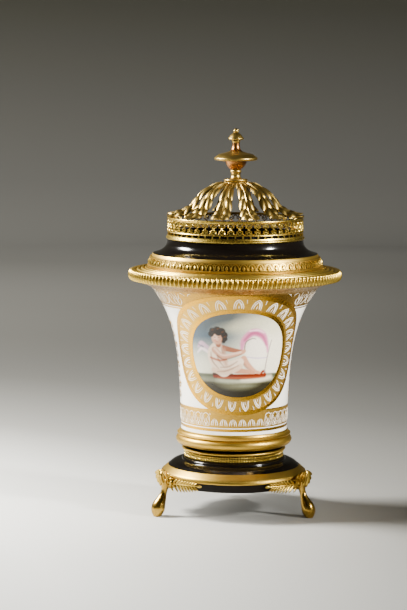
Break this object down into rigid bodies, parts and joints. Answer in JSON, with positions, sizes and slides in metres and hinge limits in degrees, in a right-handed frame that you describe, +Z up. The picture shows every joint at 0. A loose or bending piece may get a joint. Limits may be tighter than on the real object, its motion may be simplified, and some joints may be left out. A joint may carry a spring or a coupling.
{
  "type": "porcelain perfume burner",
  "caption": "Trumpet-shaped porcelain vase with gilt-bronze mounts on a three-legged round base, under a pierced cover of leaves with a turned finial.",
  "frame": {"origin": "on the floor under the vase's axis, centre of the bounding box's underside", "axes": "+Z up along the vase's axis, -Y towards the front with the painted panel, +X to the viewer's right"},
  "size_m": [0.2, 0.2, 0.3588],
  "materials": {
    "gilt_bronze": "fire-gilt bronze, part burnished and part matt",
    "black_glaze": "black-glazed porcelain with matt gilded bands",
    "white_glaze": "white glazed porcelain with painted panel and gilding"
  },
  "bodies": {
    "root": {"leg_front_left": "gilt_bronze", "leg_front_right": "gilt_bronze", "leg_back": "gilt_bronze", "base": "black_glaze", "beaded_ring": "gilt_bronze", "vase_body": "white_glaze", "gadrooned_rim": "gilt_bronze", "collar": "black_glaze", "gallery": "gilt_bronze", "leaf_dome": "gilt_bronze", "finial": "gilt_bronze"}
  },
  "joints": []
}
